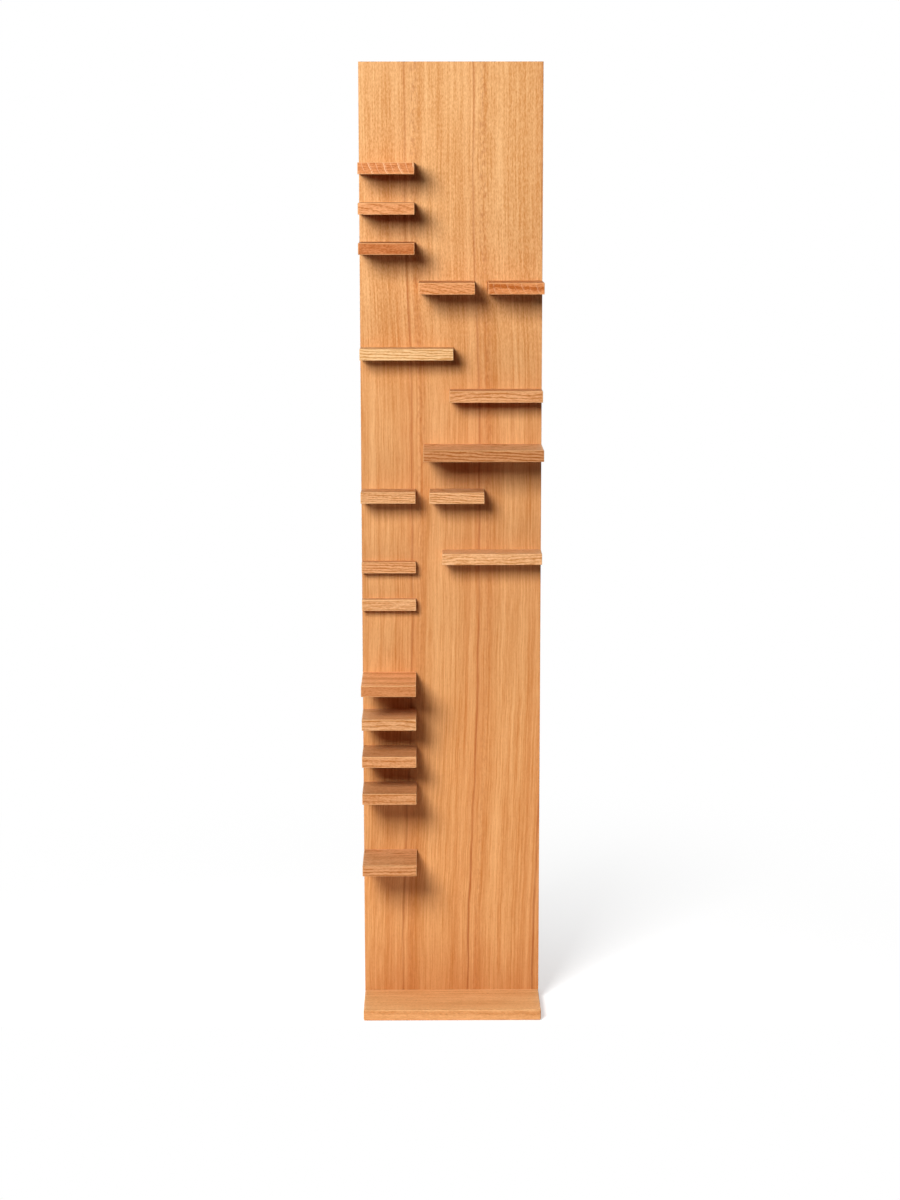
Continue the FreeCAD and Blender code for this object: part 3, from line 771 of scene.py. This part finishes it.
        # painted shade and warm bounce light at the panel's foot, just above the base plate
        foot = graph.scaled(graph.ramp(z, *self.foot_heights), self.foot_painted_shade)
        wood = graph.mix(graph.total(graph.scaled(warm, uneven), foot), wood, self.warm)

        # broken, knotty flecks beside the dark line of each leaf, then the line itself and the pores
        knots = graph.ramp(graph.noise(place, self.KNOT, self.seed + 7), *self.KNOT_EDGE)
        second = graph.scaled(graph.hill(inside, *self.knot_hill), knots)
        wood = graph.mix(graph.scaled(second, graph.ramp(z, *self.knots)), wood, self.knot)
        wear = graph.ramp(graph.noise(place, self.WEAR, self.seed + 6), *self.WEAR_RANGE)
        first = graph.scaled(graph.ramp(near_line, *self.line_reach), wear)
        upper, lower = (graph.ramp(z, *change) for change in self.depth)
        wood = graph.mix(graph.scaled(first, graph.total(upper, lower)), wood, self.line)
        wood = graph.mix(graph.scaled(pore, self.PORE.depth), wood, self.line)

        roughness = graph.total(self.SHEEN, graph.scaled(pore, 0.14), graph.scaled(band, 0.16, MEAN),
                                graph.scaled(first, 0.1))
        height = graph.total(graph.scaled(pore, -0.05), graph.scaled(fibre, 0.015, MEAN),
                             graph.scaled(first, -0.02))
        coat(graph, shader, held_back(graph, wood), roughness, graph.relief(height))
        return material


@dataclass(frozen=True)
class ZincPlate:
    """Zinc-plated steel: dull silver with faint turning marks and handling stains.

    Attributes:
        bright, dull: Its two tones.
        stains, turning: Its marks, whose depth is how much they roughen it.
        tones: The stains' noise where it is all bright and all dull.
        sheen, scratch: Its mean roughness, and how deep the turning marks are, in millimetres.
    """

    bright: Colour = linear(206, 208, 206)
    dull: Colour = linear(150, 152, 150)
    stains: Mark = Mark((3.5, 3.5, 3.5), 0.25, detail=2.0)
    turning: Mark = Mark((6.0, 0.12, 0.12), 0.1)
    tones: Pair = (0.3, 0.7)
    sheen: float = 0.32
    scratch: float = 0.01

    def material(self) -> Material:
        """The finish of the screws, bolts and nuts.

        Returns:
            The material.
        """
        material, graph, shader = surface("zinc_plated_steel", metallic=1.0)
        place = graph.place_mm()
        stain = graph.noise(place, self.stains, 2.0)
        turned = graph.noise(place, self.turning, 4.0)
        colour = graph.mix(graph.ramp(stain, *self.tones), self.bright, self.dull)
        rough = graph.swing(stain, self.stains), graph.swing(turned, self.turning)
        roughness = graph.total(self.sheen, *rough)
        coat(graph, shader, colour, roughness, graph.relief(graph.scaled(turned, self.scratch, MEAN)))
        return material


@dataclass(frozen=True)
class PlainWood:
    """Bare wood or wood fibre that only shows inside the bookshelf.

    Attributes:
        name: The material's name.
        pale, dark: Its two tones.
        fibres: Its fibres, whose depth is how much they roughen it.
        tones: The fibres' noise where it is all pale and all dark.
        sheen, nap: Its mean roughness, and how far the fibres stand up, in millimetres.
    """

    name: str
    pale: Colour
    dark: Colour
    fibres: Mark
    tones: Pair = (0.3, 0.7)
    sheen: float = 0.72
    nap: float = 0.04

    def material(self) -> Material:
        """The finish, matt and slightly rough.

        Returns:
            The material.
        """
        material, graph, shader = surface(self.name, specular=0.25)
        fibre = graph.noise(graph.place_mm(), self.fibres, 6.0)
        colour = graph.mix(graph.ramp(fibre, *self.tones), self.pale, self.dark)
        roughness = graph.total(self.sheen, graph.swing(fibre, self.fibres))
        coat(graph, shader, colour, roughness, graph.relief(graph.scaled(fibre, self.nap, MEAN)))
        return material


# --- sub-assemblies ---


@dataclass
class BasePlate:
    """The oak plate on the floor, its grain from side to side."""

    node: str = "base_plate"
    cut: BoardCut = BoardCut(
        Shade.WHEAT, (60.0, -70.0), 6.5, 11.3, slope=0.01, figure=6.0, lines=0.2, tone=1.38, painted_edge_light=0.86,
        fibres=0.5, broad=1.0, wear_and_highlight=0.2)

    def dress(self, oak: SolidOak) -> None:
        """Gives the plate its timber."""
        dress(self.node, oak.material(self.node, self.cut))


@dataclass
class SpinePanel:
    """The tall panel: veneer on both faces, strips of oak on its edges, a core inside."""

    front: LeafVeneer = LeafVeneer()
    rear: LeafVeneer = LeafVeneer(
        seam_top=-64.0, sways=((1500.0, 900.0, -8.0), (800.0, 100.0, 14.0)), seed=21.7)
    core: PlainWood = PlainWood(
        "wood_fibre_core", linear(196, 168, 128), linear(160, 132, 96),
        Mark((1.2, 1.2, 1.2), 0.2, detail=2.0))
    strips: dict[str, BoardCut] = field(default_factory=lambda: {
        "panel_lipping_left": BoardCut(Shade.HONEY, (40.0, -15.0), 3.0, 31.0, tone=1.05),
        "panel_lipping_right": BoardCut(Shade.HONEY, (-50.0, 10.0), 3.4, 33.0),
        "panel_lipping_top": BoardCut(Shade.HONEY, (30.0, -40.0), 3.2, 35.0, tone=1.05),
    })

    def dress(self, oak: SolidOak) -> None:
        """Gives every layer of the panel its finish.

        Args:
            oak: The solid timber of the strips.
        """
        dress("panel_veneer_front", self.front.material("oak_veneer_front"))
        dress("panel_veneer_rear", self.rear.material("oak_veneer_rear"))
        for node, cut in self.strips.items():
            dress(node, oak.material(node, cut, grain="X" if node.endswith("top") else "Z"))
        dress("panel_core", self.core.material())


@dataclass
class Shelves:
    """The eighteen boards on the panel's front, each from its own piece of timber."""

    cuts: dict[str, BoardCut] = field(default_factory=lambda: {
        "shelf_01_left": BoardCut(
            Shade.RUSSET, (4.0, -90.0), 4.4, 1.0, slope=0.03, rays=1.2, lines=0.4, fibres=0.85),
        "shelf_02_left": BoardCut(
            Shade.COPPER, (60.0, 42.0), 2.8, 2.0, slope=0.24, figure=5.0, lines=0.5, tone=0.92, painted_edge_light=1.09,
            fibres=1.2),
        "shelf_03_left": BoardCut(
            Shade.UMBER, (90.0, -8.0), 7.0, 3.0, slope=0.02, lines=0.5, tone=0.96, painted_edge_light=1.14),
        "shelf_04_centre": BoardCut(
            Shade.COPPER, (50.0, -48.0), 2.8, 4.0, slope=0.22, figure=5.0, lines=0.7, tone=0.94,
            painted_edge_light=1.07, fibres=1.3),
        "shelf_05_right": BoardCut(
            Shade.RUSSET, (60.0, 51.0), 7.5, 5.0, slope=0.04, figure=6.0, rays=0.5, tone=0.96, painted_edge_light=1.03,
            lines=1.3, fibres=1.2, broad=0.35),
        "shelf_06_left_long": BoardCut(
            Shade.STRAW, (18.0, -64.0), 4.0, 6.0, slope=0.02, figure=9.0, lines=1.9),
        "shelf_07_right_long": BoardCut(
            Shade.AMBER, (44.0, 44.0), 3.6, 7.0, slope=-0.05, figure=11.0, tone=1.05, fibres=0.85),
        "shelf_08_right_wide": BoardCut(
            Shade.AMBER, (30.0, -110.0), 4.2, 8.0, slope=0.07, figure=9.0, tone=1.2, painted_edge_light=0.63, lines=1.9,
            broad=0.34),
        "shelf_09_left_slim": BoardCut(
            Shade.HONEY, (10.0, -70.0), 3.4, 9.0, slope=0.01, figure=8.0, lines=2.0, fibres=1.5),
        "shelf_10_centre_slim": BoardCut(
            Shade.HONEY, (16.0, 62.0), 3.8, 10.0, slope=0.06, figure=10.0, lines=2.0, fibres=1.4),
        "shelf_11_right_slim": BoardCut(
            Shade.HONEY, (36.0, 60.0), 4.0, 11.0, slope=-0.05, figure=12.0, tone=1.165, lines=0.8,
            fibres=0.8, wear_and_highlight=0.2),
        "ledge_12_left": BoardCut(
            Shade.AMBER, (-20.0, 60.0), 5.0, 12.0, slope=0.02, figure=7.0, tone=0.99, lines=1.5),
        "ledge_13_left": BoardCut(
            Shade.HONEY, (14.0, -50.0), 3.4, 13.0, slope=-0.02, figure=6.0, tone=1.1, lines=0.6,
            fibres=0.85),
        "shelf_14_left_deep": BoardCut(
            Shade.COPPER, (148.0, -30.0), 36.0, 14.0, figure=2.0, tone=1.28, painted_edge_light=0.625, broad=0.6,
            wear_and_highlight=0.8),
        "shelf_15_left": BoardCut(
            Shade.HONEY, (22.0, 36.0), 4.0, 15.0, slope=0.02, figure=8.0, tone=1.03, painted_edge_light=0.95, lines=0.8,
            fibres=0.85),
        "shelf_16_left": BoardCut(
            Shade.AMBER, (24.0, -60.0), 7.0, 16.0, slope=0.01, figure=5.0, tone=0.92, painted_edge_light=1.1,
            lines=0.6),
        "shelf_17_left": BoardCut(
            Shade.AMBER, (70.0, -50.0), 4.4, 17.0, figure=5.0, tone=0.92, painted_edge_light=1.05, lines=0.6),
        "shelf_18_left_low": BoardCut(
            Shade.AMBER, (40.0, 70.0), 4.2, 18.0, slope=-0.01, figure=6.0, tone=1.06, painted_edge_light=0.845,
            lines=1.9, fibres=1.1, broad=0.34),
    })

    def dress(self, oak: SolidOak) -> None:
        """Gives every board its timber."""
        for node, cut in self.cuts.items():
            dress(node, oak.material(node, cut))


@dataclass
class Fixings:
    """Screws, bolts, nuts and dowels, most of them hidden in the wood."""

    steel: tuple[str, ...] = ("shelf_screws", "ledge_screws", "base_bolts", "barrel_nuts")
    dowels: tuple[str, ...] = ("shelf_dowels", "ledge_dowels", "base_dowels")
    zinc: ZincPlate = ZincPlate()
    beech: PlainWood = PlainWood(
        "bare_beech", linear(222, 184, 140), linear(196, 152, 106),
        Mark((0.8, 14.0, 0.8), 0.2, detail=2.0))

    def dress(self) -> None:
        """Gives the fixings zinc or bare beech."""
        zinc, beech = self.zinc.material(), self.beech.material()
        for node in self.steel:
            dress(node, zinc)
        for node in self.dowels:
            dress(node, beech)


# --- studio ---


def shown_share(graph: Graph) -> Socket:
    """How much of a ray shows the background: all of one that comes from the camera, gloss or glass.

    Args:
        graph: The graph of the floor or the world.

    Returns:
        1 for such a ray, 0 for one that only carries light.
    """
    path = graph.node("ShaderNodeLightPath")
    kinds = ("Camera", "Glossy", "Transmission")
    shown = graph.total(*(path.outputs[f"Is {kind} Ray"] for kind in kinds))
    return graph.math("MINIMUM", 1.0, shown)


@dataclass(frozen=True)
class PalePaper:
    """The floor's finish: a pale sheet that takes the shadow near the bookshelf, plain white far off.

    Attributes:
        near, far: Its colour for rays that only carry light, close to the bookshelf and far off.
        turn: Between which distances the one turns into the other, in millimetres.
        sheet, lift: Colour of the sheet that shows, and the white light that it adds.
        whole, fade: How far the shadow stays deep, and over what length it then fades, in millimetres.
        gone: Between which distances the last of it goes, in millimetres.
        front: Between which depths, at the base plate's front, the sheet begins, in millimetres.
    """

    near: Colour = (1.0, 0.84, 0.8)
    far: Colour = (0.05, 0.042, 0.04)
    turn: Pair = (750.0, 1600.0)
    sheet: Colour = (0.95, 0.95, 0.95)
    lift: float = 0.43
    whole: float = 150.0
    fade: float = 500.0
    gone: Pair = (1700.0, 800.0)
    front: Pair = (-110.0, -88.0)

    def material(self) -> Material:
        """The finish of the floor.

        Returns:
            The material.
        """
        material = bpy.data.materials.new("pale_floor")
        material.use_nodes = True
        graph = Graph(material.node_tree)
        x, y, _ = graph.parts(graph.place_mm())
        away = graph.distance(x, y)

        tint = graph.mix(graph.ramp(away, *self.turn), self.near, self.far)
        carries = graph.node("ShaderNodeBsdfDiffuse", tint)
        sheet = graph.node("ShaderNodeBsdfDiffuse", self.sheet)
        lift, white = (graph.node("ShaderNodeEmission", WHITE, power) for power in (self.lift, 1.0))
        lifted = graph.node("ShaderNodeAddShader", sheet.outputs[0], lift.outputs[0])

        fading = graph.math("EXPONENT", graph.scaled(away, -1 / self.fade, self.whole))
        kept = graph.scaled(fading, graph.ramp(away, *self.gone))
        kept = graph.math("MINIMUM", kept, graph.ramp(y, *self.front))
        plain = graph.math("SUBTRACT", 1.0, graph.math("MINIMUM", kept, 1.0))
        seen = graph.shaders(shown_share(graph), carries, graph.shaders(plain, lifted, white))
        graph.node("ShaderNodeOutputMaterial", seen.outputs[0])
        return material


@dataclass
class Studio:
    """A pale floor, soft light from the upper left, and the camera.

    Attributes:
        floor_drop: Gap that keeps the floor clear of the base plate, in metres.
        floor_half: Half the floor's side, in metres.
        paper: The floor's finish.
        key_place, key_aim: Where the soft box hangs, and where it points, in metres.
        key_size, key_spread, key_power: Its width and height in metres, beam in degrees, and watts.
        fill_front, fill_back: Light from all round, from the bookshelf's front and from behind it.
        fill_turn: How far to the rear a ray points where one turns into the other, 1 for straight back.
        eye: Where the camera stands, in metres.
        pitch, yaw, roll: How it is turned, in degrees: downwards, to the right, and about its own axis.
        lens, frame_width: Focal length and the width of the frame, in millimetres.
    """

    floor_drop: float = 0.0003
    floor_half: float = 14.0
    paper: PalePaper = PalePaper()
    key_place: Triple = (-1.06, -2.58, 2.26)
    key_aim: Triple = (0.0, 0.0, 0.05)
    key_size: Pair = (1.15, 1.15)
    key_spread: float = 165.0
    key_power: float = 94.0
    fill_front: float = 0.006
    fill_back: float = 0.9
    fill_turn: Pair = (0.0, 0.8)
    eye: Triple = (-0.03368, -4.14569, 1.50225)
    pitch: float = 10.1716
    yaw: float = 0.4281
    roll: float = -0.0631
    lens: float = 70.6236
    frame_width: float = 36.0

    def build(self) -> None:
        """Lays the floor, hangs the light and sets the camera."""
        self._floor()
        self._world()
        self._key_light()
        self._camera()
        bpy.context.scene.view_settings.view_transform = "Standard"
        log.info("the studio is set")

    def _floor(self) -> None:
        """A wide flat sheet just under the base plate."""
        signs = ((-1, -1), (1, -1), (1, 1), (-1, 1))
        corners = [(x * self.floor_half, y * self.floor_half, -self.floor_drop) for x, y in signs]
        mesh = bpy.data.meshes.new("floor")
        mesh.from_pydata(corners, [], [(0, 1, 2, 3)])
        floor = bpy.data.objects.new("floor", mesh)
        bpy.context.scene.collection.objects.link(floor)
        mesh.materials.append(self.paper.material())

    def _world(self) -> None:
        """White where it is seen or mirrored, a soft grey where it lights."""
        world = bpy.data.worlds.new("studio")
        world.use_nodes = True
        bpy.context.scene.world = world
        graph = Graph(world.node_tree)
        seen = shown_share(graph)
        _, towards, _ = graph.parts(graph.node("ShaderNodeTexCoord").outputs["Generated"])
        fill = graph.ramp(towards, *self.fill_turn, self.fill_front, self.fill_back)
        lights = graph.scaled(fill, graph.math("SUBTRACT", 1.0, seen))
        light = graph.node("ShaderNodeBackground", WHITE, graph.total(seen, lights))
        graph.node("ShaderNodeOutputWorld", light.outputs[0])

    def _key_light(self) -> None:
        """The soft box, aimed low so that the panel's foot gets its share."""
        data = bpy.data.lights.new("soft_box", "AREA")
        data.shape = "RECTANGLE"
        data.size, data.size_y = self.key_size
        data.energy = self.key_power
        data.spread = math.radians(self.key_spread)
        lamp = bpy.data.objects.new("soft_box", data)
        lamp.location = self.key_place
        lamp.rotation_euler = (Vector(self.key_aim) - lamp.location).to_track_quat("-Z", "Y").to_euler()
        bpy.context.scene.collection.objects.link(lamp)

    def _camera(self) -> None:
        """The camera, level but for its pitch and a trace of yaw and roll."""
        data = bpy.data.cameras.new("camera")
        data.sensor_width = self.frame_width
        data.lens = self.lens
        camera = bpy.data.objects.new("camera", data)
        turn = Matrix.Identity(4)
        for degrees, axis in ((-self.yaw, "Z"), (90.0 - self.pitch, "X"), (self.roll, "Z")):
            turn = turn @ Matrix.Rotation(math.radians(degrees), 4, axis)
        camera.matrix_world = Matrix.Translation(Vector(self.eye)) @ turn
        bpy.context.scene.collection.objects.link(camera)
        bpy.context.scene.camera = camera


def main() -> None:
    """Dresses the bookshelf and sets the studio."""
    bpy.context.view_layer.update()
    oak = SolidOak()
    BasePlate().dress(oak)
    SpinePanel().dress(oak)
    Shelves().dress(oak)
    Fixings().dress()
    Studio().build()


if __name__ == "__main__":
    main()
